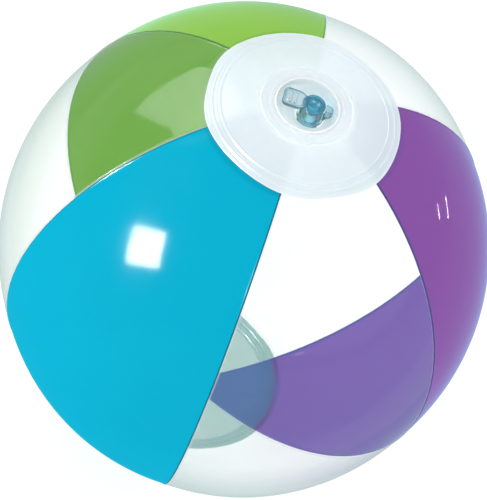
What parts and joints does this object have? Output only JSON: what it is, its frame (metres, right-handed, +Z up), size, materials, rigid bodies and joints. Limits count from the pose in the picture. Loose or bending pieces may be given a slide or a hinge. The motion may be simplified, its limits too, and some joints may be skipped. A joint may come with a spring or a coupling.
{
  "type": "inflatable beach ball",
  "caption": "Inflatable ball of alternating coloured and clear film panels between two polar discs, with a push-in valve that has a plug on a strap.",
  "frame": {"origin": "lowest point of the inflated ball, at the middle of the bottom disc, where it rests", "axes": "+Z up the polar axis to the valve, +X through the middle of the purple panel"},
  "size_m": [0.2592, 0.2576, 0.2693],
  "materials": {
    "cyan_film": "glossy printed vinyl film, nearly opaque",
    "purple_film": "glossy tinted vinyl film",
    "green_film": "glossy tinted vinyl film",
    "clear_film": "glossy clear vinyl film",
    "disc_film": "glossy milky vinyl film with embossed weld rings",
    "valve_clear": "soft clear vinyl moulding",
    "plug_blue": "soft blue-tinted clear vinyl moulding"
  },
  "bodies": {
    "ball": {"panel_cyan": "cyan_film", "panel_clear_front": "clear_film", "panel_purple": "purple_film", "panel_clear_back": "clear_film", "panel_green": "green_film", "panel_clear_side": "clear_film", "top_disc": "disc_film", "bottom_disc": "disc_film", "valve_base": "valve_clear", "valve_bellows": "valve_clear"},
    "stem": {"valve_stem": "valve_clear", "plug_strap": "plug_blue"},
    "plug": {"valve_plug": "plug_blue"},
    "flap": {"check_flap": "valve_clear"}
  },
  "joints": [
    {"name": "valve_pull", "type": "slide", "parent": "ball", "child": "stem", "axis": [0, 0, 1], "range_m": [0, 0.016], "deforming": ["valve_bellows"]},
    {"name": "plug_swing", "type": "hinge", "parent": "stem", "child": "plug", "pos_m": [0.0126, 0.003, 0.26568], "axis": [0, 1, 0], "range_deg": [0, 90], "deforming": ["plug_strap"]},
    {"name": "flap_open", "type": "hinge", "parent": "stem", "child": "flap", "pos_m": [-0.0021, 0.003, 0.25138], "axis": [0, 1, 0], "range_deg": [0, 65], "stiffness_Nm_per_rad": 0.001}
  ]
}
